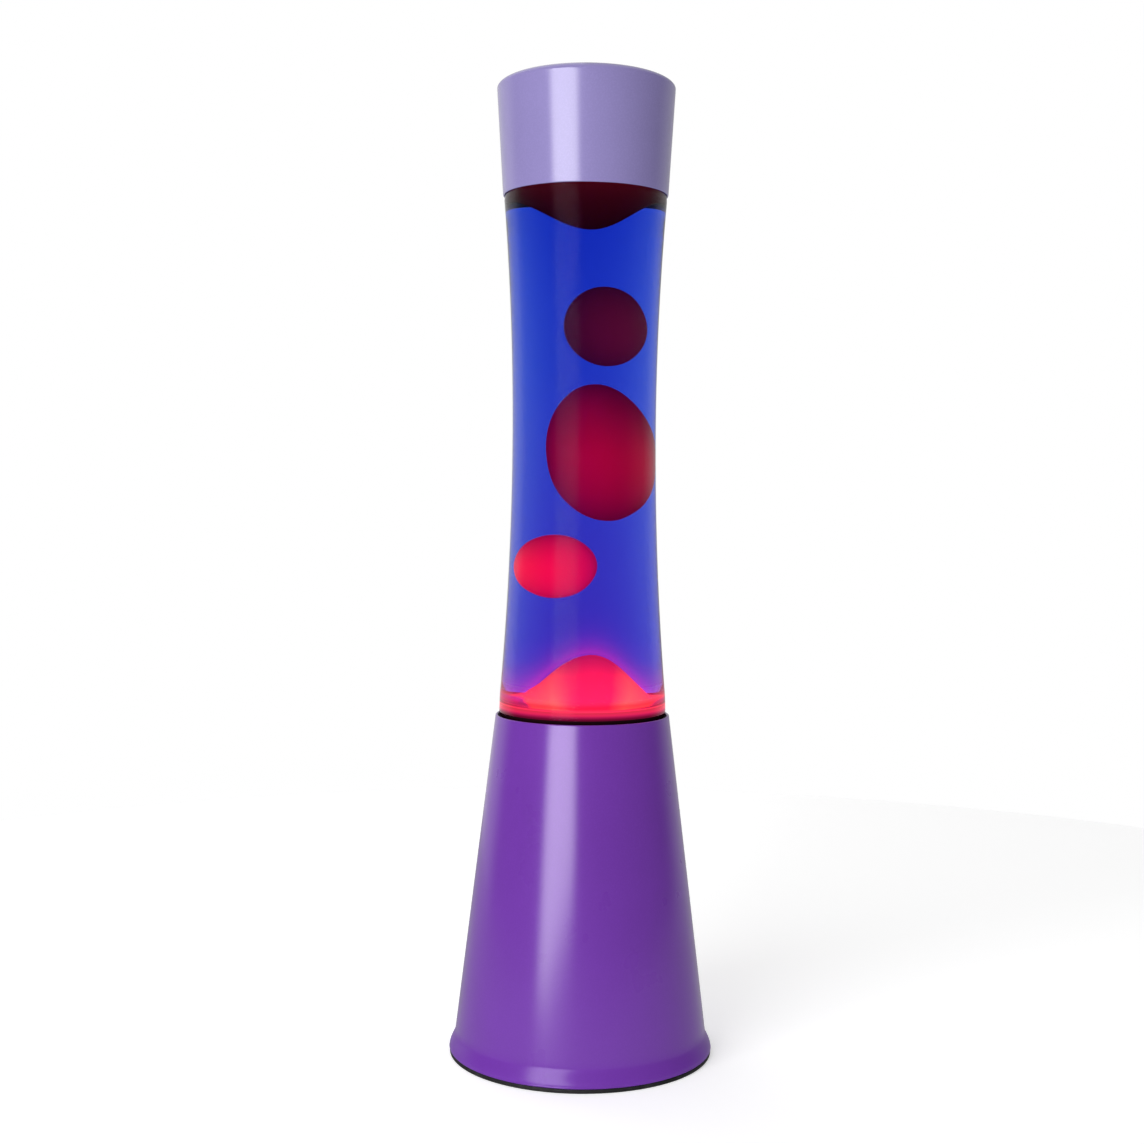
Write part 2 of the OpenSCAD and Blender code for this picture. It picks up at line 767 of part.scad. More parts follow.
module top_cap() {
    taper = (cap_top_r - cap_edge_r) / cap_h;
    corner_z = lamp_h - cap_corner_h;
    start = -atan(taper * cap_corner_h / cap_corner_w);   // where the corner leaves the tapered side
    start_z = corner_z + cap_corner_h * sin(start);
    corner_x = cap_edge_r + taper * (start_z - cap_z) - cap_corner_w * cos(start);
    edge_round = cap_t / 2;
    function corner(inset) = [
        for (p = arc([0, 0], 1, start, 90, 12))
            [corner_x + (cap_corner_w - inset) * p[0], corner_z + (cap_corner_h - inset) * p[1]]
    ];
    color([0.56, 0.52, 0.75]) rotate_extrude() polygon(concat(
        arc([cap_edge_r - edge_round, cap_z + edge_round], edge_round, -170, -10, 5),
        corner(0),
        [[0, lamp_h], [0, lamp_h - cap_t]],
        reverse(corner(cap_t))
    ));
}

base_cone();
foot_ring();
bottom_plate();
plate_lugs();
plate_screws();
seat_ring();
holder_bracket();
bracket_screws();
bracket_nuts();
holder_nipple();
nipple_nuts();
holder_base();
holder_insert();
holder_shell();
holder_sleeve();
holder_contact();
holder_terminals();
terminal_block();
terminal_screws();
lead_live();
lead_neutral();
cord_grommet();
cord_clamp();
clamp_screws();
bulb_glass();
bulb_screw_cap();
bulb_insulator();
bulb_contact();
bulb_stem();
bulb_filament();
bottle_glass();
liquid();
wax_mound();
heating_coil();
wax_pool();
crown_cap();
crown_liner();
wax_large();
wax_small();
wax_low();
top_cap();
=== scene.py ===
import math

import bmesh
import bpy
from mathutils import Matrix, Vector, noise


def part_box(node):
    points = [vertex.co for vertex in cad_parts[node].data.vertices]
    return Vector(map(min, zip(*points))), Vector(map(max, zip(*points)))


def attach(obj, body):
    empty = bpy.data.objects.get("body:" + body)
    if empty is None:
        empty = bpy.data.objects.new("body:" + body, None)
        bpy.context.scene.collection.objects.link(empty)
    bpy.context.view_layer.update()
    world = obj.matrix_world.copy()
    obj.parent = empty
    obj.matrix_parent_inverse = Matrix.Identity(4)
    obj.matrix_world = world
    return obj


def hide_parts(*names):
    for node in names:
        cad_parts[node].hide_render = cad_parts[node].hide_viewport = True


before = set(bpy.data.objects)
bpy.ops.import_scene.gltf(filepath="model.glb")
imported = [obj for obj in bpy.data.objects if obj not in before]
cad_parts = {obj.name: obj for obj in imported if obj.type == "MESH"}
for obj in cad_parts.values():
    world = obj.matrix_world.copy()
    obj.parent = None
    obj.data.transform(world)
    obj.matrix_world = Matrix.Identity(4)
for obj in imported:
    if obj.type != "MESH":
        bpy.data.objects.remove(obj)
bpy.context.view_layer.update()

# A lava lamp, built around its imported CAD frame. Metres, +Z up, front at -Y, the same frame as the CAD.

MM = 0.001


# ------------------------------------------------------------------ sizes, from the frame

def low(node):
    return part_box(node)[0]


def high(node):
    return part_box(node)[1]


def middle(node):
    return (low(node) + high(node)) / 2


def half(node):
    return (high(node) - low(node)) / 2


LAMP_TOP = high("top_cap").z
BASE_TOP = high("base_cone").z
BASE_LOW = low("base_cone").z
BOTTLE_LOW = low("bottle_glass").z
CAP_LOW = low("top_cap").z
FLOOR_Z = low("wax_mound").z                 # top of the bottle's glass floor
SHOULDER_Z = CAP_LOW - 2.3 * MM

CONE_FOOT_R = 53.1 * MM                      # straight cone, carried down to the table
CONE_RIM_R = 35.85 * MM
FLARE_OUT = 1.6 * MM                         # how far the foot turns out from that cone
FLARE_TOP = 9 * MM
FLARE_TALL = 6.2 * MM
SHEET_T = 1.05 * MM
WAIST_R = 29.43 * MM
WAIST_Z = 258 * MM
CURVE_BELOW = 1260 * MM                      # radii of the bottle's side, below and above its waist
CURVE_ABOVE = 1145 * MM
HEEL_R = 34.4 * MM
HEEL_EASE = 0.35 * MM                        # how softly the side meets the heel's upright part
GLASS_T = 2.5 * MM
SEGMENTS = 256                               # round the lathe


def smooth(t):
    t = max(0.0, min(1.0, t))
    return t * t * (3 - 2 * t)


def base_r(z):
    straight = CONE_FOOT_R + (CONE_RIM_R - CONE_FOOT_R) * z / BASE_TOP
    return straight + FLARE_OUT * smooth((FLARE_TOP - z) / FLARE_TALL)


def side_r(z):
    """Outer radius of the bottle's side: two shallow arcs that meet at the waist and ease into the heel."""
    curve = CURVE_BELOW if z < WAIST_Z else CURVE_ABOVE
    r = WAIST_R + (z - WAIST_Z) ** 2 / (2 * curve)
    over = r - (HEEL_R - HEEL_EASE)
    return r if over < 0 else HEEL_R - HEEL_EASE + HEEL_EASE * (1 - math.exp(-over / HEEL_EASE))


# ------------------------------------------------------------------ mesh helpers

def arc(x, z, r, start, stop, steps):
    """Points on an arc in the lathe's plane, with angles in degrees from +x."""
    turn = [math.radians(start + (stop - start) * i / steps) for i in range(steps + 1)]
    return [(x + r * math.cos(a), z + r * math.sin(a)) for a in turn]


def span(start, stop, steps):
    return [start + (stop - start) * i / steps for i in range(steps + 1)]


def thin_out(points, least=1e-6):
    kept = []
    for p in points:
        if not kept or math.dist(p, kept[-1]) > least:
            kept.append(p)
    return kept


def new_object(name, verts, faces, sharp=40):
    mesh = bpy.data.meshes.new(name)
    mesh.from_pydata(verts, [], faces)
    mesh.validate()
    mesh.polygons.foreach_set("use_smooth", [True] * len(mesh.polygons))
    bm = bmesh.new()
    bm.from_mesh(mesh)
    bmesh.ops.recalc_face_normals(bm, faces=bm.faces)
    bm.to_mesh(mesh)
    bm.free()
    mesh.set_sharp_from_angle(angle=math.radians(sharp))
    obj = bpy.data.objects.new(name, mesh)
    bpy.context.scene.collection.objects.link(obj)
    return obj


def lathe(name, outline, segments=SEGMENTS, sharp=40, shift=None):
    """Turns an outline of (radius, z) round the upright axis. An outline that starts and ends on the axis is
    closed there; any other is closed into a ring. shift(x, y, z) may move each point, for a shape that isn't
    quite round."""
    outline = thin_out(outline)
    on_axis = [r < 1e-7 for r, _ in outline]
    rings = []
    verts = []
    for (r, z), single in zip(outline, on_axis):
        first = len(verts)
        if single:
            verts.append((0, 0, z))
            rings.append([first] * segments)
            continue
        for k in range(segments):
            a = 2 * math.pi * k / segments
            verts.append((r * math.cos(a), r * math.sin(a), z))
        rings.append(list(range(first, first + segments)))
    if shift:
        verts = [shift(*v) for v in verts]
    pairs = list(zip(rings, rings[1:]))
    if not (on_axis[0] and on_axis[-1]):
        pairs.append((rings[-1], rings[0]))
    faces = []
    for a, b in pairs:
        for k in range(segments):
            m = (k + 1) % segments
            face = [a[k], a[m], b[m], b[k]]
            face = [v for i, v in enumerate(face) if v not in face[:i]]
            if len(face) > 2:
                faces.append(face)
    return new_object(name, verts, faces, sharp)


def cut(obj, tool):
    """Takes tool away from obj and deletes tool."""
    mod = obj.modifiers.new("cut", "BOOLEAN")
    mod.operation = "DIFFERENCE"
    mod.solver = "EXACT"
    mod.object = tool
    dg = bpy.context.evaluated_depsgraph_get()
    mesh = bpy.data.meshes.new_from_object(obj.evaluated_get(dg))
    obj.modifiers.remove(mod)
    obj.data = mesh
    bpy.data.objects.remove(tool)
    return obj


def place(obj, body, slot, mats, *nodes):
    """Gives a piece its body, materials and the CAD nodes that it stands for. slot is not used."""
    for mat in mats if isinstance(mats, (list, tuple)) else [mats]:
        obj.data.materials.append(mat)
    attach(obj, body)
    if nodes:
        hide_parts(*nodes)
    return obj


# ------------------------------------------------------------------ material helpers

class Nodes:
    """A node tree, with short calls for its nodes and links."""

    def __init__(self, tree):
        self.tree = tree
        self.nodes = tree.nodes

    def link(self, source, target):
        self.tree.links.new(source, target)

    def give(self, value, socket):
        """Links or sets one input."""
        if isinstance(value, bpy.types.NodeSocket):
            self.link(value, socket)
        else:
            socket.default_value = value

    def add(self, kind, inputs=(), **props):
        node = self.nodes.new(kind)
        for key, value in props.items():
            setattr(node, key, value)
        for key, value in dict(inputs).items():
            self.give(value, node.inputs[key])
        return node

    def coords(self, which):
        return self.add("ShaderNodeTexCoord").outputs[which]

    def split(self, vector):
        return self.add("ShaderNodeSeparateXYZ", {0: vector}).outputs

    def maths(self, operation, a, b=0.0):
        return self.add("ShaderNodeMath", {0: a, 1: b}, operation=operation).outputs[0]

    def times(self, a, b):
        return self.maths("MULTIPLY", a, b)

    def along(self, value, a, b):
        """How far value is on its way from a to b, 0 to 1."""
        return self.add("ShaderNodeMapRange", {
            "Value": value, "From Min": a, "From Max": b}).outputs["Result"]

    def remap(self, value, a, b, to_a, to_b):
        """The same, eased at both ends, on the scale from to_a to to_b."""
        return self.add("ShaderNodeMapRange", {
            "Value": value, "From Min": a, "From Max": b, "To Min": to_a, "To Max": to_b},
            interpolation_type="SMOOTHSTEP").outputs["Result"]

    def mirrored(self):
        """1 for a ray that comes from a mirroring surface without passing through it, and 0 for any other."""
        path = self.add("ShaderNodeLightPath").outputs
        return self.times(path["Is Glossy Ray"], self.maths("SUBTRACT", 1.0, path["Is Transmission Ray"]))


class Tree(Nodes):
    """The node tree of a material with a Principled shader. Its plain values are set here."""

    def __init__(self, name, **plain):
        self.mat = bpy.data.materials.new(name)
        self.mat.use_nodes = True
        super().__init__(self.mat.node_tree)
        self.shader = self.nodes["Principled BSDF"]
        for key, value in plain.items():
            self.shader.inputs[key.replace("_", " ")].default_value = value

    def place(self, scale=(1, 1, 1)):
        """Coordinates fixed to the piece, in metres."""
        return self.add("ShaderNodeMapping", {"Vector": self.coords("Object"), "Scale": scale}).outputs[0]

    def xyz(self):
        return self.split(self.place())

    def noise(self, scale, detail=3.0, rough=0.5, stretch=(1, 1, 1)):
        return self.add("ShaderNodeTexNoise", {
            "Vector": self.place(stretch), "Scale": scale, "Detail": detail,
            "Roughness": rough}).outputs["Fac"]

    def uneven(self, value, scale, reach):
        """value, shifted by up to half of reach either way in patches."""
        return self.maths("ADD", value, self.times(self.maths("SUBTRACT", self.noise(scale), 0.5), reach))

    def mix(self, factor, a, b, mode="MIX"):
        node = self.add("ShaderNodeMix", data_type="RGBA", blend_type=mode)
        for key, value in ((0, factor), (6, a), (7, b)):
            self.give(value, node.inputs[key])
        return node.outputs[2]

    def scaled(self, colour, factor):
        grey = self.add("ShaderNodeCombineXYZ", {0: factor, 1: factor, 2: factor}).outputs[0]
        return self.mix(1.0, colour, grey, "MULTIPLY")

    def ramp(self, value, stops):
        node = self.add("ShaderNodeValToRGB", {"Fac": value})
        elements = node.color_ramp.elements
        while len(elements) < len(stops):
            elements.new(0.5)
        for element, (at, colour) in zip(elements, stops):
            element.position = at
            element.color = (*colour[:3], 1)
        return node.outputs["Color"]

    def bump(self, height, distance, strength=1.0):
        node = self.add("ShaderNodeBump", {"Height": height, "Distance": distance, "Strength": strength})
        self.link(node.outputs["Normal"], self.shader.inputs["Normal"])

    def set(self, **links):
        for key, value in links.items():
            self.link(value, self.shader.inputs[key.replace("_", " ")])

    def glow(self, colour, strength=1.0):
        self.set(Emission_Color=colour)
        self.shader.inputs["Emission Strength"].default_value = strength


def rgb(r, g, b):
    """An sRGB colour, 0 to 255, as the linear colour that Blender takes."""
    def one(c):
        c /= 255
        return c / 12.92 if c <= 0.04045 else ((c + 0.055) / 1.055) ** 2.4
    return (one(r), one(g), one(b), 1.0)


def tint(colour, factor):
    return (*[min(1.0, c * factor) for c in colour[:3]], 1.0)


def strongest(stops):
    """The strongest channel of a list of (place, colour) stops."""
    return max(max(colour) for _, colour in stops)


WHITE = (1, 1, 1, 1)
BLACK = (0, 0, 0, 1)


# ------------------------------------------------------------------ materials

def painted_metal(name, colour, roughness, coat_rough, rubbed_foot=False):
    """Sprayed gloss lacquer on spun sheet: orange peel, faint turning rings under it, and a few specks of
    dust. rubbed_foot takes most of the gloss off the lowest edge."""
    t = Tree(name, Specular_IOR_Level=0.1, Coat_Weight=1.0, Coat_IOR=1.5, Coat_Roughness=coat_rough)
    cloud = t.noise(14, detail=4)
    fleck = t.noise(1600, detail=2)
    body = t.mix(t.remap(cloud, 0.3, 0.7, 0, 1), tint(colour, 0.96), tint(colour, 1.04))
    body = t.mix(t.remap(fleck, 0.45, 0.62, 0, 0.16), body, tint(colour, 1.3))
    spots = t.add("ShaderNodeTexVoronoi", {"Vector": t.place(), "Scale": 75.0}, feature="F1").outputs
    rare = t.remap(spots["Color"], 0.86, 0.9, 0, 1)
    speck = t.times(t.remap(spots["Distance"], 0.012, 0.022, 1, 0), rare)
    body = t.mix(t.times(speck, 0.5), body, (0.8, 0.78, 0.84, 1))
    t.set(Base_Color=body)
    t.set(Roughness=t.remap(t.noise(40, detail=5), 0.3, 0.7, roughness - 0.03, roughness + 0.04))
    if rubbed_foot:
        t.set(Coat_Weight=t.remap(t.xyz()["Z"], 8 * MM, 12 * MM, 0.35, 1.0))
    peel = t.noise(520, detail=2)
    rings = t.noise(1.0, detail=4, stretch=(3, 3, 420))
    t.bump(t.maths("ADD", t.times(peel, 0.5), t.times(rings, 0.5)), 0.006 * MM, 0.5)
    return t.mat


def plastic(name, colour, roughness=0.42, grain=0.03, gloss=0.5):
    """Moulded plastic: a fine spark-eroded grain, and slight clouding."""
    t = Tree(name, Specular_IOR_Level=gloss)
    cloud = t.noise(60, detail=4)
    t.set(Base_Color=t.mix(t.remap(cloud, 0.3, 0.7, 0, 1), tint(colour, 0.9), tint(colour, 1.08)))
    t.set(Roughness=t.remap(t.noise(300), 0.3, 0.7, roughness - 0.06, roughness + 0.08))
    t.bump(t.noise(2600, detail=2), grain * MM, 0.6)
    return t.mat


def rubber(name, colour):
    """Moulded rubber: dull, a little dusty in patches."""
    t = Tree(name, Specular_IOR_Level=0.35)
    dust = t.remap(t.noise(180, detail=5, rough=0.6), 0.5, 0.75, 0, 0.35)
    t.set(Base_Color=t.mix(dust, colour, rgb(74, 72, 76)))
    t.set(Roughness=t.remap(t.noise(90), 0.3, 0.7, 0.55, 0.75))
    t.bump(t.noise(1800), 0.03 * MM, 0.7)
    return t.mat


def metal(name, colour, roughness=0.3, stretch=(1, 1, 1), tarnish=0.25):
    """Bare or plated metal: fine directional marks, and duller patches."""
    t = Tree(name, Metallic=1.0)
    patch = t.remap(t.noise(120, detail=5, rough=0.6), 0.4, 0.7, 0, tarnish)
    t.set(Base_Color=t.mix(patch, colour, tint(colour, 0.55)))
    marks = t.noise(700, detail=3, stretch=stretch)
    t.set(Roughness=t.remap(marks, 0.3, 0.7, roughness - 0.07, roughness + 0.12))
    t.bump(marks, 0.01 * MM, 0.5)
    return t.mat


def clear_glass(name, inner=False):
    """Bottle glass. The faces that the liquid wets mirror nothing, so they get their own copy. Outside, a
    painted red glow round the thick floor stands in for the light of the hot wax caught there."""
    mirror = BLACK if inner else (0.045, 0.045, 0.045, 1)
    t = Tree(name, Base_Color=WHITE, Roughness=0.0, IOR=1.5, Transmission_Weight=1.0, Specular_Tint=mirror)
    t.bump(t.noise(26, detail=2, stretch=(1, 1, 0.35)), 0.05 * MM, 0.06)
    # painted red glow round the floor of the outer glass
    if not inner:
        t.glow(t.ramp(t.along(t.xyz()["Z"], BOTTLE_LOW, FLOOR_GLOW_TOP), FLOOR_GLOW))
    return t.mat


def blue_liquid():
    """Clear dyed water. The dye takes out red and green by depth. A painted red glow by height lights its
    foot for the hot wax's light, and a painted halo of light stands round the outline of the mound as seen
    from the front."""
    t = Tree("blue_liquid", Base_Color=WHITE, Roughness=0.0, IOR=1.34, Transmission_Weight=1.0,
             Specular_Tint=BLACK)
    dye = t.add("ShaderNodeVolumeAbsorption", {"Color": LIQUID_DYE, "Density": LIQUID_DENSITY})
    t.link(dye.outputs[0], t.nodes["Material Output"].inputs["Volume"])
    x, _, z = t.xyz()
    dx = t.maths("SUBTRACT", x, HALO_X)
    wide = t.maths("ADD", t.maths("ABSOLUTE", dx), t.times(dx, HALO_LEAN))
    bell = t.maths("COSINE", t.maths("MINIMUM", t.times(wide, math.pi / 2 / HALO_REACH), math.pi / 2))
    above = t.maths("SUBTRACT", t.maths("SUBTRACT", z, HALO_FOOT), t.times(bell, HALO_RISE))
    halo = t.maths("EXPONENT", t.times(t.maths("MAXIMUM", above, 0.0), -1 / HALO_FADE))
    halo = t.times(halo, t.remap(above, -1.8 * MM, 0.6 * MM, 0, 1))
    t.glow(t.mix(halo, t.ramp(t.along(z, FLOOR_Z, CAP_LOW), LIQUID_GLOW), HALO, "ADD"))
    return t.mat


def wax_tree(name, body):
    """Wax without its glow: dull, with a slightly uneven skin."""
    t = Tree(name, Roughness=0.45, Specular_IOR_Level=0.0)
    t.set(Base_Color=t.mix(t.noise(60), body, tint(body, 0.8)))
    t.bump(t.noise(120, detail=2), 0.15 * MM, 0.4)
    return t


def wax(name, body, glow, z_low, z_high, across=None):
    """Wax with a painted glow for the bulb's light through it from below. glow is a list of (height share,
    colour) stops that may pass 1. across gives two distances to the right and the shares of the painted glow
    left there, painted shade to one side."""
    t = wax_tree(name, body)
    x, _, z = t.xyz()
    up = t.along(t.uneven(z, 55, 6 * MM), z_low, z_high)
    top = strongest(glow)
    light = t.ramp(up, [(at, [v / top for v in colour]) for at, colour in glow])
    streak = t.remap(t.noise(30, detail=4, stretch=(1, 1, 0.4)), 0.3, 0.7, 0.9, 1.08)
    if across:
        streak = t.times(streak, t.remap(x, *across))
    t.glow(t.scaled(light, streak), top)
    return t.mat


def hot_wax():
    """The wax on the floor, with a painted glow for the bulb's light from right below: red where it is deep,
    orange where it thins out at the bell's sides, pink in the thin layer round it, and dim, painted shade, at
    the wall and on its underside."""
    t = wax_tree("hot_wax", WAX_RED)
    x, y, z = t.xyz()
    side = t.uneven(t.maths("ABSOLUTE", t.maths("SUBTRACT", x, MOUND_X)), 60, 4 * MM)
    far = HOT_WAX_GLOW[-1][0]
    top = strongest(HOT_WAX_GLOW)
    light = t.ramp(t.maths("DIVIDE", side, far * MM), [
        (at / far, [v / top for v in colour]) for at, colour in HOT_WAX_GLOW])
    out = t.maths("SQRT", t.maths("ADD", t.times(x, x), t.times(y, y)))
    # painted shade towards the glass wall
    light = t.scaled(light, t.remap(out, 20 * MM, 27 * MM, 1.0, 0.3))
    under = t.remap(z, FLOOR_Z + 0.2 * MM, FLOOR_Z + 0.7 * MM, 0, 1)
    t.glow(t.mix(under, [*(v / top for v in UNDERSIDE_GLOW), 1.0], light), top)
    return t.mat


# the share of light that is left after a metre of liquid is exp(-(1 - dye) * density)
LIQUID_DENSITY = 100.0
LIQUID_DYE = (0.13, 0.38, 0.872, 1)
LIQUID_GLOW = [                                    # painted red glow in the liquid, by height, from the bottle's floor to the cap
    (0.0, (0.26, 0.004, 0.03)), (0.03, (0.25, 0.004, 0.03)), (0.05, (0.18, 0.004, 0.02)),
    (0.075, (0.10, 0.003, 0.012)), (0.096, (0.055, 0.002, 0.01)), (0.14, (0.036, 0.001, 0.004)),
    (0.36, (0.022, 0, 0)), (0.66, (0.005, 0, 0)), (1.0, (0.0, 0, 0)),
]
HALO = (0.32, 0.0, 0.03, 1)                        # painted light, for the light that the mound throws into the liquid round it
HALO_X = 3 * MM                                    # the middle of the bell that it stands round, and its lean
HALO_LEAN = 0.08
HALO_REACH = 25.8 * MM
HALO_FOOT = FLOOR_Z + 3.5 * MM
HALO_RISE = 20.5 * MM
HALO_FADE = 3.7 * MM
FLOOR_GLOW_TOP = FLOOR_Z + 2 * MM
FLOOR_GLOW = [                                     # painted glow on the outer glass, by height, from the bottle's underside to there
    (0.0, (0, 0, 0)), (0.29, (0.02, 0, 0.006)), (0.5, (0.16, 0.003, 0.03)), (0.6, (0.45, 0.008, 0.08)),
    (0.69, (0.8, 0.02, 0.10)), (0.88, (0.7, 0.03, 0.06)), (0.97, (0, 0, 0)), (1.0, (0, 0, 0)),
]
HOT_WAX_GLOW = [                                   # painted glow, by distance sideways from the mound's middle, mm
    (0, (5.2, 0.032, 0.115)), (7, (5.2, 0.032, 0.115)), (13, (8.0, 0.25, 0.13)), (18, (8.0, 0.19, 0.13)),
    (21.8, (8.0, 0.18, 0.13)), (23.2, (0.95, 0.06, 0.28)), (28, (0.95, 0.06, 0.28)),
]
# painted dim glow on the mound's underside
UNDERSIDE_GLOW = (0.35, 0.003, 0.04)

BASE_PURPLE = (0.143, 0.033, 0.338, 1)
CAP_LILAC = (0.258, 0.218, 0.470, 1)

base_paint = painted_metal("base_paint", BASE_PURPLE, 0.30, 0.17, rubbed_foot=True)
cap_paint = painted_metal("cap_paint", CAP_LILAC, 0.32, 0.11)
# dark brown on the cap's inside faces: painted shade for the unlit hollow under the cap
painted_shade_inside = plastic("painted_shade_inside", rgb(44, 22, 16), 0.55, 0.02)
black_rubber = rubber("black_rubber", rgb(20, 19, 22))
black_plastic = plastic("black_plastic", rgb(26, 26, 29), 0.48)
cream_plastic = plastic("cream_plastic", rgb(226, 220, 202), 0.34, 0.015)
brown_sleeve = plastic("brown_sleeve", rgb(96, 56, 30), 0.4, 0.02)
blue_sleeve = plastic("blue_sleeve", rgb(36, 74, 170), 0.4, 0.02)
steel = metal("plated_steel", (0.66, 0.67, 0.70, 1), 0.26, (1, 1, 3))
brass = metal("brass", (0.80, 0.60, 0.28, 1), 0.24, (1, 1, 3), 0.4)
bulb_tin = metal("bulb_tin", (0.72, 0.72, 0.73, 1), 0.3, (1, 1, 6))
crown_paint = painted_metal("crown_lacquer", rgb(206, 188, 138), 0.3, 0.1)
liner_white = plastic("liner_white", rgb(226, 226, 220), 0.6, 0.03)
glass_outer = clear_glass("bottle_glass")
glass_inner = clear_glass("bottle_glass_wet", inner=True)
underside_shade = plastic("bottle_underside", (0.012, 0.003, 0.005, 1), 0.6, 0.01, 0.0)   # painted shade: a near-black underside for the dark band at the heel, which also hides the bulb
liquid_mat = blue_liquid()

WAX_RED = rgb(196, 16, 60)
# the same wax darkened: painted shade for the pieces high up, far from the bulb
WAX_RED_SHADED = rgb(70, 10, 28)


# ------------------------------------------------------------------ base

def base_shell():
    """The spun cone, from its rolled rim to its flared foot, with the hole for the cord's grommet."""
    edge = SHEET_T / 2
    rim = BASE_TOP - edge
    flare_end = 11 * MM                           # the rings are closer below this
    heights = span(BASE_LOW + 0.2 * MM, flare_end, 34) + span(flare_end + 1.5 * MM, rim, 30)
    outer = [(base_r(z), z) for z in heights]
    inner = [(base_r(z) - SHEET_T, z) for z in reversed(heights)]
    top = arc(base_r(rim) - edge, rim, edge, 8, 172, 10)
    foot = arc(base_r(BASE_LOW) - edge, BASE_LOW + edge, edge, -172, -8, 8)
    shell = lathe("base_shell", foot + outer[2:] + top + inner[:-2])
    grommet = middle("cord_grommet")
    hole_r = half("cord_grommet").x - 2.2 * MM
    long = 30 * MM
    tool = lathe("hole_tool", [(0, 0), (hole_r, 0), (hole_r, long), (0, long)], 64)
    tool.matrix_world = (
        Matrix.Translation((0, high("cord_grommet").y - 20 * MM, grommet.z))
        @ Matrix.Rotation(-math.pi / 2, 4, "X"))
    cut(shell, tool)
    shell.data.polygons.foreach_set("use_smooth", [True] * len(shell.data.polygons))
    shell.data.set_sharp_from_angle(angle=math.radians(35))
    return place(shell, "base", "base_paint", base_paint, "base_cone")


def foot_band():
    """The thin black ring that the cone stands on."""
    outer = high("foot_ring").x
    top = high("foot_ring").z
    inner = 47.5 * MM
    r = 0.5 * MM
    outline = (arc(inner + r, r, r, 180, 270, 6) + arc(outer - r, r, r, -90, 0, 6)
               + arc(outer - r, top - r, r, 0, 90, 6) + [(inner, top)])
    return place(lathe("foot_band", outline), "base", "foot_rubber", black_rubber, "foot_ring")


def seat():
    """The black ledge in the mouth that the bottle stands on."""
    top = high("seat_ring").z
    skirt = low("seat_ring").z
    t = 1.4 * MM
    gap = SHEET_T + 0.05 * MM
    r_in = 27 * MM
    corner = 1 * MM
    outline = (arc(r_in + t / 2, top - t / 2, t / 2, 270, 90, 10)
               + [(base_r(top) - gap, top), (base_r(skirt) - gap, skirt), (base_r(skirt) - gap - t, skirt)]
               + arc(base_r(top - t) - gap - t - corner, top - t - corner, corner, 0, 90, 6))
    return place(lathe("seat", outline), "base", "black_plastic", black_plastic, "seat_ring")


def cord_gland():
    """The rubber grommet, turned about its own axis, which runs along Y."""
    centre = middle("cord_grommet")
    y0 = low("cord_grommet").y
    y1 = high("cord_grommet").y
    bore = 3.2 * MM
    hole = bore + 1.9 * MM
    flange = half("cord_grommet").x
    wall = base_r(centre.z)
    r = 0.6 * MM
    inside = y0 + 2.2 * MM
    outside = wall + 0.4 * MM
    outline = (arc(bore + r, y0 + r, r, 180, 270, 5) + arc(flange - r, y0 + r, r, -90, 0, 5)
               + arc(flange - r, inside - r, r, 0, 90, 5) + [(hole, inside), (hole, outside)]
               + arc(flange - r, outside + r, r, -90, 0, 5) + arc(flange - r, y1 - r, r, 0, 90, 5)
               + arc(bore + r, y1 - r, r, 90, 180, 5))
    gland = lathe("cord_gland", outline, 96)
    gland.data.transform(Matrix.Translation((centre.x, 0, centre.z)) @ Matrix.Rotation(-math.pi / 2, 4, "X"))
    return place(gland, "base", "foot_rubber", black_rubber, "cord_grommet")


base_shell()
foot_band()
seat()
cord_gland()


# ------------------------------------------------------------------ bottle, liquid and wax

SHOULDER_ARC = 11 * MM
SHOULDER_TURN = 60                                # degrees of that arc
INNER_CORNER = 5 * MM                             # between the inside wall and the floor
NECK_Z = SHOULDER_Z + 18.6 * MM
LIP_Z = high("bottle_glass").z
NECK_R = 12.7 * MM
BORE_R = 9 * MM
LIP_R = 13.3 * MM
LIP_ARC = 1.6 * MM
BORE_ARC = 0.8 * MM
HEEL_ARC = 3.4 * MM
PUNT_RISE = 1.2 * MM                              # the hollow of the underside
PUNT_R = 22 * MM
STAND_R = 26 * MM                                 # where the bottle starts to touch its seat


def shoulder(inset):
    return arc(side_r(SHOULDER_Z) - SHOULDER_ARC, SHOULDER_Z, SHOULDER_ARC - inset, 0, SHOULDER_TURN, 18)


def inner_wall(inset=0.0):
    """The bottle's inside, from the middle of its floor to the top of its shoulder."""
    t = GLASS_T + inset
    corner = INNER_CORNER - inset
    start = FLOOR_Z + INNER_CORNER
    wall_r = side_r(start) - t
    return ([(0, FLOOR_Z + inset), (wall_r - corner - 8 * MM, FLOOR_Z + inset)]
            + arc(wall_r - corner, start, corner, -90, 0, 14)
            + [(side_r(z) - t, z) for z in span(start, SHOULDER_Z, 90)[1:-1]]
            + shoulder(t))


def is_wet(at):
    """Whether a point of the glass is on the bottle's inside, below its neck."""
    if not FLOOR_Z - 0.5 * MM < at.z < SHOULDER_Z + 9 * MM:
        return False
    over = max(0.0, at.z - SHOULDER_Z)
    return math.hypot(at.x, at.y) < side_r(min(at.z, SHOULDER_Z)) - GLASS_T * 0.6 - over * 0.45


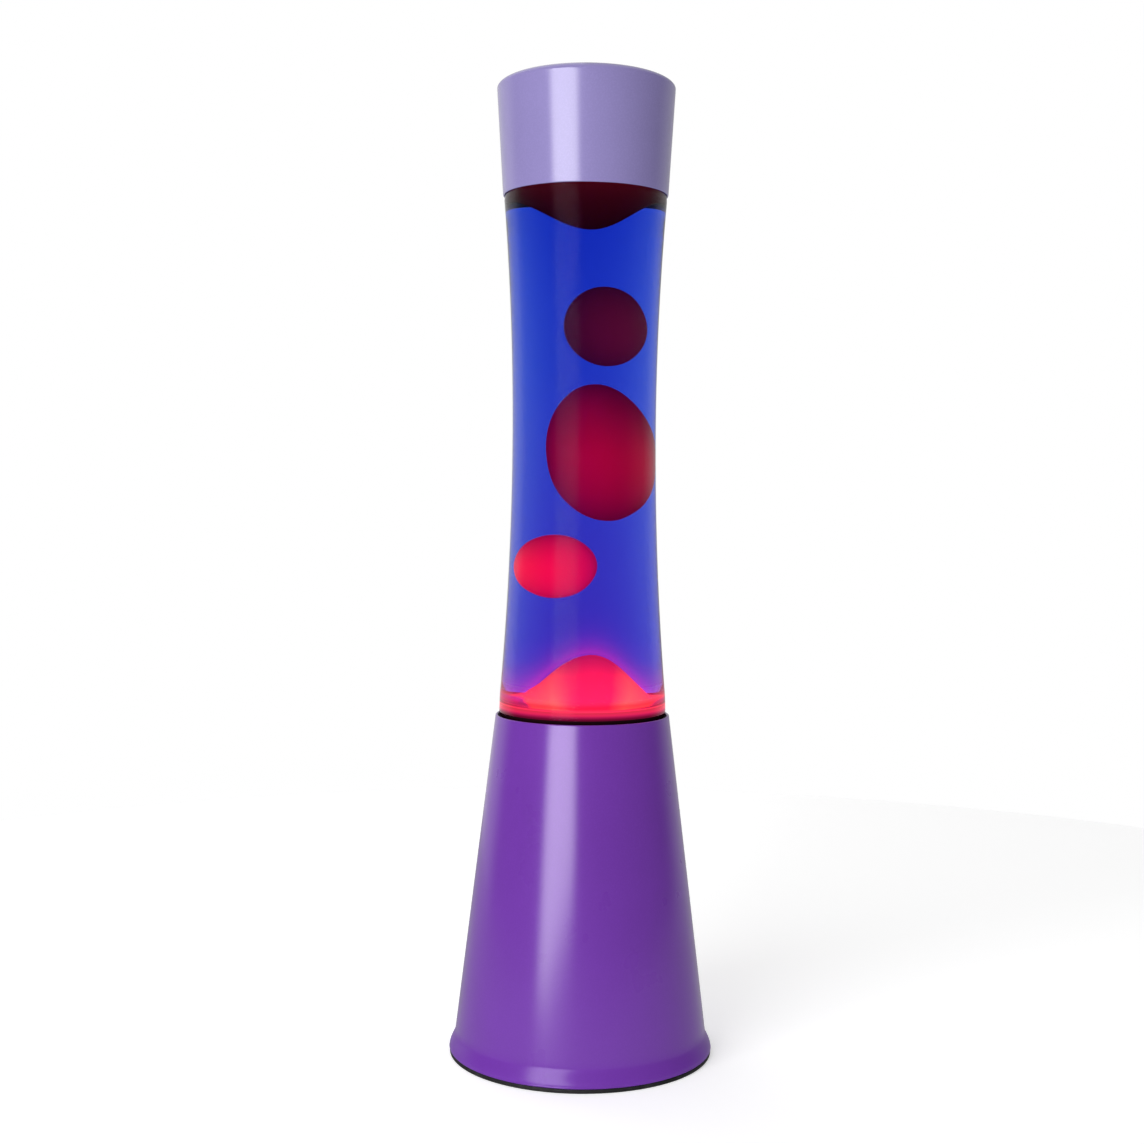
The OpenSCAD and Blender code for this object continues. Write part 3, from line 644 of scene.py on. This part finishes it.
def bottle():
    """The glass, from its hollow underside round the heel to the side, shoulder, beaded neck and lip, and
    back down inside. The wetted faces have a material of their own, and the underside a near-black one,
    painted shade."""
    start = BOTTLE_LOW + HEEL_ARC
    edge_rise = PUNT_RISE * 0.85
    under = [(PUNT_R * k / 8, BOTTLE_LOW + PUNT_RISE - (PUNT_RISE - edge_rise) * (k / 8) ** 2)
             for k in range(9)]
    under += [(PUNT_R + (STAND_R - PUNT_R) * k / 8, BOTTLE_LOW + edge_rise * (1 - smooth(k / 8)))
              for k in range(1, 9)]
    side = (arc(HEEL_R - HEEL_ARC, start, HEEL_ARC, -90, -4, 14)
            + [(side_r(z), z) for z in span(start, SHOULDER_Z, 110)] + shoulder(0))
    neck = (arc(NECK_R + 4 * MM, NECK_Z + 1 * MM, 4 * MM, 240, 180, 10)
            + [(NECK_R, NECK_Z + 4.6 * MM)]
            + arc(NECK_R + 0.6 * MM, NECK_Z + 6.7 * MM, 1.1 * MM, -80, 80, 10)
            + [(NECK_R - 0.3 * MM, NECK_Z + 8.9 * MM), (NECK_R - 0.3 * MM, LIP_Z - 5.6 * MM)])
    lip = [(LIP_R, LIP_Z - 4.4 * MM)] + arc(LIP_R - LIP_ARC, LIP_Z - LIP_ARC, LIP_ARC, 0, 90, 10)
    bore = arc(BORE_R + BORE_ARC, LIP_Z - BORE_ARC, BORE_ARC, 90, 180, 6) + [(BORE_R, NECK_Z - 2 * MM)]
    glass = lathe("bottle_shell", under + side + neck + lip + bore + list(reversed(inner_wall())), sharp=50)
    place(glass, "bottle", "bottle_glass", [glass_outer, glass_inner, underside_shade], "bottle_glass")
    # the underside faces take the near-black painted shade
    for face in glass.data.polygons:
        face.material_index = 2 if face.center.z < start else int(is_wet(face.center))


MOUND_X = 2.6 * MM
MOUND_TOP = high("wax_mound").z
LAYER_Z = FLOOR_Z + 1.45 * MM                     # top of the thin layer round the mound
POOL_EDGE = SHOULDER_Z + 4.1 * MM                 # where the pool meets the glass
POOL_LOW = low("wax_pool").z
GAP = 0.06 * MM                                   # between the glass and the wax
WETTED = -0.04 * MM                               # the liquid reaches into the glass: no air between them


def settled(name, wall, surface):
    """Wax that fills the glass along wall, from the axis out to its last point, and is closed by the free
    surface that surface(x, y, share of the radius) gives."""
    edge = wall[-1][0] - 0.05 * MM
    free = 1.0                                    # stands for the height of a point on the free surface
    outline = wall + [(r, free) for r in span(edge, 0, 64)]

    def lift(x, y, z):
        return (x, y, surface(x, y, math.hypot(x, y) / edge)) if z == free else (x, y, z)

    return lathe(name, outline, 192, shift=lift, sharp=60)


def mound():
    """The wax on the floor: a thin layer with a bell rising from it, steeper on its right."""
    rise = MOUND_TOP - LAYER_Z

    def top(x, y, share):
        dx = x - MOUND_X
        out = math.hypot(dx, y)
        to_right = dx / max(out, 1e-6)
        reach = (19.6 - 1.1 * to_right) * MM
        bell = math.cos(math.pi / 2 * min(1, out / reach))
        tail = math.exp(-((out - reach) / (3.4 * MM)) ** 2) * (0.075 - 0.04 * to_right)
        swell = noise.noise(Vector((x * 70, y * 70, 3.1))) * 0.5 * MM * smooth((1 - share) * 4)
        return LAYER_Z + rise * (bell + tail * smooth((1 - share) * 6)) + swell

    wall = [p for p in inner_wall(GAP) if p[1] < LAYER_Z]
    return settled("mound", wall, top)


def pool():
    """The wax that has risen to the top, bulging down in the middle."""
    wall = [p for p in shoulder(GLASS_T + GAP) if p[1] > POOL_EDGE]

    def under(x, y, share):
        out = math.hypot(x - 1.3 * MM * (1 - share), y)
        fall = math.cos(math.pi / 2 * min(1.0, out / wall[0][0])) ** 2
        swell = noise.noise(Vector((x * 50, y * 50, 8.7))) * 0.5 * MM * smooth((1 - share) * 3)
        return POOL_EDGE - (POOL_EDGE - POOL_LOW) * fall + swell

    return settled("pool", [(0, wall[-1][1])] + list(reversed(wall)), under)


def blob(name, node, egg, lean, seed, wobble, wide=1.0):
    """A drifting piece of wax: an egg in its CAD node's box, leaning a little and not quite round."""
    centre = middle(node)
    size = half(node)
    size.x *= wide
    size.y *= wide
    mesh = bpy.data.meshes.new(name)
    bm = bmesh.new()
    bmesh.ops.create_icosphere(bm, subdivisions=6, radius=1)
    for v in bm.verts:
        p = v.co.copy()
        swell = 1 + egg * -p.z
        shake = 1 + wobble * (noise.noise(p * 1.3 + Vector((seed, 0, 0))) - 0.15)
        v.co = Vector((
            centre.x + size.x * p.x * swell * shake + lean * size.z * p.z,
            centre.y + size.y * p.y * swell * shake,
            centre.z + size.z * p.z * min(1.0, shake + 0.02)))
    bm.to_mesh(mesh)
    bm.free()
    mesh.polygons.foreach_set("use_smooth", [True] * len(mesh.polygons))
    obj = bpy.data.objects.new(name, mesh)
    bpy.context.scene.collection.objects.link(obj)
    return obj


def liquid():
    """One body up to the end of the shoulder, with the wax hanging in it."""
    side = inner_wall(WETTED)
    return lathe("liquid_body", side + [(0, side[-1][1])], sharp=60)


bottle()
place(liquid(), "bottle", "blue_liquid", liquid_mat, "liquid")

mound_mat = hot_wax()
# lit and shaded copies of the one wax: the glow of each piece is painted light for how much of the bulb's
# light reaches it
low_mat = wax(
    "warm_wax", WAX_RED, [(0.0, (2.7, 0.006, 0.075)), (1.0, (2.1, 0.006, 0.07))],
    low("wax_low").z, high("wax_low").z, (-18 * MM, 0, 0.9, 1.25))
large_mat = wax(
    "cool_wax", WAX_RED,
    [(0.0, (0.72, 0.001, 0.042)), (0.2, (0.84, 0.001, 0.042)), (0.5, (0.80, 0.001, 0.038)),
     (0.8, (0.58, 0.001, 0.032)), (1.0, (0.42, 0.001, 0.032))],
    low("wax_large").z, high("wax_large").z, (-4 * MM, 20 * MM, 1.0, 0.5))
small_mat = wax(
    "dark_wax", WAX_RED_SHADED, [(0.0, (0.22, 0.005, 0.03)), (1.0, (0.17, 0.005, 0.024))],
    low("wax_small").z, high("wax_small").z)
pool_mat = wax(
    "top_wax", WAX_RED_SHADED, [(0.0, (0.09, 0.002, 0.004)), (1.0, (0.08, 0.002, 0.004))],
    POOL_LOW, POOL_EDGE)

place(mound(), "bottle", "hot_wax", mound_mat, "wax_mound")
place(pool(), "bottle", "dark_wax", pool_mat, "wax_pool")
for name, node, body, slot, mat, shape in (
    ("blob_low", "wax_low", "low_wax", "warm_wax", low_mat, (0.02, 0.02, 4.0, 0.04)),
    ("blob_large", "wax_large", "large_wax", "cool_wax", large_mat, (0.06, -0.075, 1.0, 0.04)),
    ("blob_small", "wax_small", "small_wax", "dark_wax", small_mat, (0.0, -0.03, 7.0, 0.02, 1.04)),
):
    place(blob(name, node, *shape), body, slot, mat, node)


# ------------------------------------------------------------------ crown cap

def crown():
    """A pressed crown cap: a flat top that rolls over into a fluted skirt."""
    flutes = 21
    top = high("crown_cap").z
    skirt = low("crown_cap").z
    r_out = half("crown_cap").x
    t = 0.3 * MM
    roll = 2.6 * MM
    r_top = 12.2 * MM
    neck_r = 13.75 * MM                           # the flutes press in no further than this
    flute_deep = 1.3 * MM
    outer = [(0, top), (r_top * 0.6, top)] + arc(r_top, top - roll, roll, 90, 12, 10)
    outer += [(r_top + roll + (r_out - r_top - roll) * k / 6, top - roll - (top - roll - skirt) * k / 6)
              for k in range(1, 7)]
    flat = 8                                      # points that lie on the top and the upper half of the roll
    inner = [(max(0, r - t), z - (t if i < flat else 0.0)) for i, (r, z) in enumerate(outer)]
    outline = outer + list(reversed(inner))

    def flute(x, y, z):
        a = math.atan2(y, x)
        r = math.hypot(x, y)
        depth = smooth((top - 1.6 * MM - z) / (3.2 * MM))
        if r < r_top * 0.8:
            return x, y, z
        r -= depth * (0.5 - 0.5 * math.cos(flutes * a)) * flute_deep
        r = max(r, neck_r) if z < top - 2.2 * MM else r
        return r * math.cos(a), r * math.sin(a), z

    shell = lathe("crown", outline, flutes * 12, shift=flute, sharp=55)
    return place(shell, "bottle", "crown_lacquer", crown_paint, "crown_cap")


crown()


# ------------------------------------------------------------------ bulb

DOME = 14 * MM
DOME_Z = high("bulb_glass").z - DOME              # the widest ring, where the dome starts


def bulb_profile(inset):
    """The bulb's outline from its neck to the middle of its dome, moved in by inset."""
    low_z = low("bulb_glass").z
    wide = half("bulb_glass").x
    neck = 6.4 * MM
    neck_top = low_z + 2.7 * MM
    flask = [(neck + (wide - neck) * smooth(t) - inset, neck_top + (DOME_Z - neck_top) * t)
             for t in span(0, 1, 40)]
    dome = [((wide - inset) * math.cos(a) ** 0.55, DOME_Z + (DOME - inset) * math.sin(a) ** 1.3)
            for a in span(0, math.pi / 2, 24)[1:]]
    return [(neck - inset, low_z)] + flask + [(max(r, 0), z) for r, z in dome[:-1]] + [(0, dome[-1][1])]


def bulb_glass():
    """Reflector bulb: silvered up to its widest ring, with a frosted dome that glows."""
    t = Tree("bulb_dome", Base_Color=(0.92, 0.90, 0.86, 1), Roughness=0.35, Coat_Weight=0.6)
    lit = t.remap(t.xyz()["Z"], DOME_Z - 1 * MM, DOME_Z + 3 * MM, 0, 1)
    t.glow(t.mix(lit, BLACK, (1.0, 0.80, 0.52, 1)), 2.2)
    t.set(Metallic=t.maths("SUBTRACT", 1.0, lit))
    t.set(Roughness=t.remap(t.noise(400), 0.3, 0.7, 0.28, 0.4))
    outline = list(reversed(bulb_profile(0.8 * MM))) + bulb_profile(0)
    return place(lathe("bulb_envelope", outline, 128), "bulb", "bulb_glass", t.mat, "bulb_glass")


def bulb_thread():
    """The bulb's screw shell, with a true rounded thread that runs up as it goes round."""
    z0 = low("bulb_screw_cap").z
    z1 = high("bulb_screw_cap").z
    r_out = 6.9 * MM
    r_end = 5.4 * MM
    end_in = 0.9 * MM                             # how far the shell draws in at its lower end
    pitch = 2.82 * MM
    depth = 0.7 * MM
    t = 0.3 * MM
    start = z0 + 1.2 * MM
    stop = z1 - 3.8 * MM
    heights = span(z0 + 0.4 * MM, z1, 96)
    outline = ([(r_end, z0)] + [(r_out, z) for z in heights]
               + [(r_out - t, z) for z in reversed(heights)] + [(r_end, z0 + t)])

    def wind(x, y, z):
        a = math.atan2(y, x)
        r = math.hypot(x, y)
        share = smooth((z - start) / (1 * MM)) * smooth((stop - z) / (1 * MM))
        if r > r_end + 0.2 * MM:
            r -= depth * share * (0.5 - 0.5 * math.cos(2 * math.pi * z / pitch - a))
            r -= (1 - smooth((z - z0) / (1.2 * MM))) * end_in
        return r * math.cos(a), r * math.sin(a), z

    thread = lathe("bulb_thread", outline, 96, shift=wind)
    return place(thread, "bulb", "bulb_metal", bulb_tin, "bulb_screw_cap")


bulb_glass()
bulb_thread()


# ------------------------------------------------------------------ top cap

def cap_shell():
    """The spun cup over the bottle's crown: a slight taper, a soft corner and a flat top."""
    edge_r = 33.75 * MM
    top_r = 36.6 * MM                             # where the side would meet the top without its corner
    wide = 14 * MM                                # the corner is a quarter of an ellipse, this wide and deep
    deep = 4.3 * MM
    t = 0.7 * MM
    taper = (top_r - edge_r) / (LAMP_TOP - CAP_LOW)
    start = -math.atan(taper * deep / wide)
    corner_z = LAMP_TOP - deep
    start_z = corner_z + deep * math.sin(start)
    corner_x = edge_r + taper * (start_z - CAP_LOW) - wide * math.cos(start)

    def corner(inset):
        unit = arc(0, 0, 1, math.degrees(start), 90, 28)
        return [(corner_x + (wide - inset) * x, corner_z + (deep - inset) * z) for x, z in unit]

    hem = t / 2
    bottom = arc(edge_r - hem, CAP_LOW + hem, hem, -172, math.degrees(start), 10)
    side = [(edge_r + taper * (z - CAP_LOW), z) for z in span(CAP_LOW + 1 * MM, start_z - 1 * MM, 24)]
    inside = [(r - t, z) for r, z in reversed(side)]
    outline = (bottom + side + corner(0)
               + [(corner_x * k / 8, LAMP_TOP) for k in range(7, -1, -1)]
               + [(corner_x * k / 8, LAMP_TOP - t) for k in range(0, 8)]
               + list(reversed(corner(t))) + inside)
    shell = place(lathe("cap_shell", outline), "cap", "cap_paint", [cap_paint, painted_shade_inside], "top_cap")
    # the inward and downward faces take the dark material, painted shade inside the cap
    for face in shell.data.polygons:
        at = face.center
        inward = (at.x * face.normal.x + at.y * face.normal.y) < 0 and abs(face.normal.z) < 0.6
        downward = face.normal.z < -0.5 and CAP_LOW + t < at.z < LAMP_TOP - t / 2
        face.material_index = int(inward or downward)


cap_shell()


# ------------------------------------------------------------------ CAD nodes that stay

KEPT = {
    "bottom_plate": black_plastic, "plate_lugs": steel, "plate_screws": steel, "holder_bracket": steel,
    "bracket_screws": steel, "bracket_nuts": steel, "holder_nipple": steel, "nipple_nuts": steel,
    "holder_base": cream_plastic, "holder_insert": cream_plastic, "holder_shell": cream_plastic,
    "holder_sleeve": brass, "holder_contact": brass, "holder_terminals": brass,
    "terminal_block": cream_plastic, "terminal_screws": steel, "lead_live": brown_sleeve,
    "lead_neutral": blue_sleeve, "cord_clamp": cream_plastic, "clamp_screws": steel,
    "bulb_insulator": black_plastic, "bulb_contact": steel, "bulb_stem": cream_plastic,
    "bulb_filament": steel, "heating_coil": steel, "crown_liner": liner_white,
}
for node, mat in KEPT.items():
    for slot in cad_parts[node].material_slots:
        slot.material = mat


# ------------------------------------------------------------------ camera, floor and light

CAMERA_AT = (-4.62 * MM, -690.4 * MM, 231.2 * MM)
CAMERA_PITCH = -2.65                              # degrees; down is negative
CAMERA_ROLL = 0.37
LENS = 52.69                                      # mm, on the 36 mm sensor

camera = bpy.data.objects.new("camera", bpy.data.cameras.new("camera"))
camera.data.lens = LENS
camera.data.sensor_width = 36
camera.matrix_world = (
    Matrix.Translation(CAMERA_AT)
    @ Matrix.Rotation(math.radians(90 + CAMERA_PITCH), 4, "X")
    @ Matrix.Rotation(math.radians(CAMERA_ROLL), 4, "Z"))
bpy.context.scene.collection.objects.link(camera)
bpy.context.scene.camera = camera


def floor():
    """A round white table. Its edge stays out of the picture against the white room behind it. For mirrors it
    is dimmer."""
    t = Tree("floor_white", Base_Color=(0.8, 0.8, 0.8, 1), Roughness=0.6, Specular_IOR_Level=0.2,
             Emission_Color=WHITE, Emission_Strength=0.42)
    t.bump(t.noise(40), 0.1 * MM, 0.1)
    dim = t.add("ShaderNodeEmission", {"Color": WHITE, "Strength": 0.36})
    both = t.add("ShaderNodeMixShader", {0: t.mirrored(), 1: t.shader.outputs[0], 2: dim.outputs[0]})
    t.link(both.outputs[0], t.nodes["Material Output"].inputs["Surface"])
    r = 0.62
    rim = [(r * math.cos(2 * math.pi * k / 96), r * math.sin(2 * math.pi * k / 96), 0) for k in range(96)]
    obj = new_object("floor", rim, [list(range(96))])
    obj.data.materials.append(t.mat)


def softbox_face():
    """The front of a tall softbox on the left, leaning outwards; only mirrors see it. Its light fades towards
    its edges."""
    mat = bpy.data.materials.new("softbox_face")
    mat.use_nodes = True
    t = Nodes(mat.node_tree)
    t.nodes.clear()
    x, y, _ = t.split(t.coords("Object"))
    across = t.remap(t.maths("ABSOLUTE", x), 0.24, 0.52, 1, 0)
    up = t.remap(t.maths("ABSOLUTE", y), 0.58, 0.66, 1, 0)
    light = t.add("ShaderNodeEmission", {"Strength": t.times(t.times(across, up), 7.2)})
    t.add("ShaderNodeOutputMaterial", {"Surface": light.outputs[0]})
    wide, tall = 0.52, 0.75
    corners = [(-wide, -tall, 0), (wide, -tall, 0), (wide, tall, 0), (-wide, tall, 0)]
    face = new_object("softbox_face", corners, [(0, 1, 2, 3)])
    face.data.materials.append(mat)
    turn, lean = math.radians(-29), math.radians(12.5)
    face.matrix_world = (
        Matrix.Rotation(turn, 4, "Z") @ Matrix.Translation((0, -1.25, 0.62))
        @ Matrix.Rotation(math.radians(90), 4, "X") @ Matrix.Rotation(lean, 4, "Z"))
    face.visible_camera = False
    face.visible_diffuse = False
    face.visible_transmission = False
    face.visible_shadow = False


floor()
softbox_face()


def studio():
    """A white room for the camera and the glass. Mirrors see a dark one, with a pale backdrop behind the lamp
    from the left and the right, and a faint ceiling. turn is in degrees round from the camera's side."""
    world = bpy.data.worlds.new("studio")
    bpy.context.scene.world = world
    world.use_nodes = True
    t = Nodes(world.node_tree)
    t.nodes.clear()
    x, y, z = t.split(t.coords("Generated"))
    degrees = 180 / math.pi
    turn = t.times(t.maths("ARCTAN2", x, t.times(y, -1.0)), degrees)
    rise = t.times(t.maths("ARCSINE", z), degrees)
    left = t.remap(turn, -100, -125, 0, 0.58)
    right = t.remap(turn, 100, 135, 0, 0.36)
    ceiling = t.remap(rise, 35, 80, 0, 0.3)
    reflected = t.maths("ADD", 0.03, t.maths("MAXIMUM", t.maths("ADD", left, right), ceiling))
    diffuse = t.add("ShaderNodeLightPath").outputs["Is Diffuse Ray"]
    room = t.maths("ADD", 1.0, t.times(diffuse, -0.555))
    mirrored = t.mirrored()
    strength = t.maths("ADD", t.times(room, t.maths("SUBTRACT", 1.0, mirrored)), t.times(reflected, mirrored))
    light = t.add("ShaderNodeBackground", {"Color": WHITE, "Strength": strength})
    t.add("ShaderNodeOutputWorld", {"Surface": light.outputs[0]})


studio()


def softbox(name, at, size, power, look=(0, 0, 0.2)):
    """An area light that only lights: neither the camera, mirrors nor glass see it."""
    data = bpy.data.lights.new(name, "AREA")
    data.shape = "RECTANGLE"
    data.size, data.size_y = size
    data.energy = power
    obj = bpy.data.objects.new(name, data)
    obj.location = at
    obj.rotation_euler = (Vector(look) - Vector(at)).to_track_quat("-Z", "Y").to_euler()
    obj.visible_camera = False
    obj.visible_glossy = False
    obj.visible_transmission = False
    bpy.context.scene.collection.objects.link(obj)


softbox("key", (-0.75, -1.15, 0.85), (0.9, 1.1), 16)
softbox("fill", (-0.6, 0.9, 0.9), (1.0, 1.0), 4)

scene = bpy.context.scene
scene.view_settings.view_transform = "Standard"
scene.view_settings.look = "None"
for limit, value in (("max_bounces", 24), ("transmission_bounces", 20), ("glossy_bounces", 8),
                     ("transparent_max_bounces", 12), ("sample_clamp_indirect", 4.0)):
    setattr(scene.cycles, limit, value)
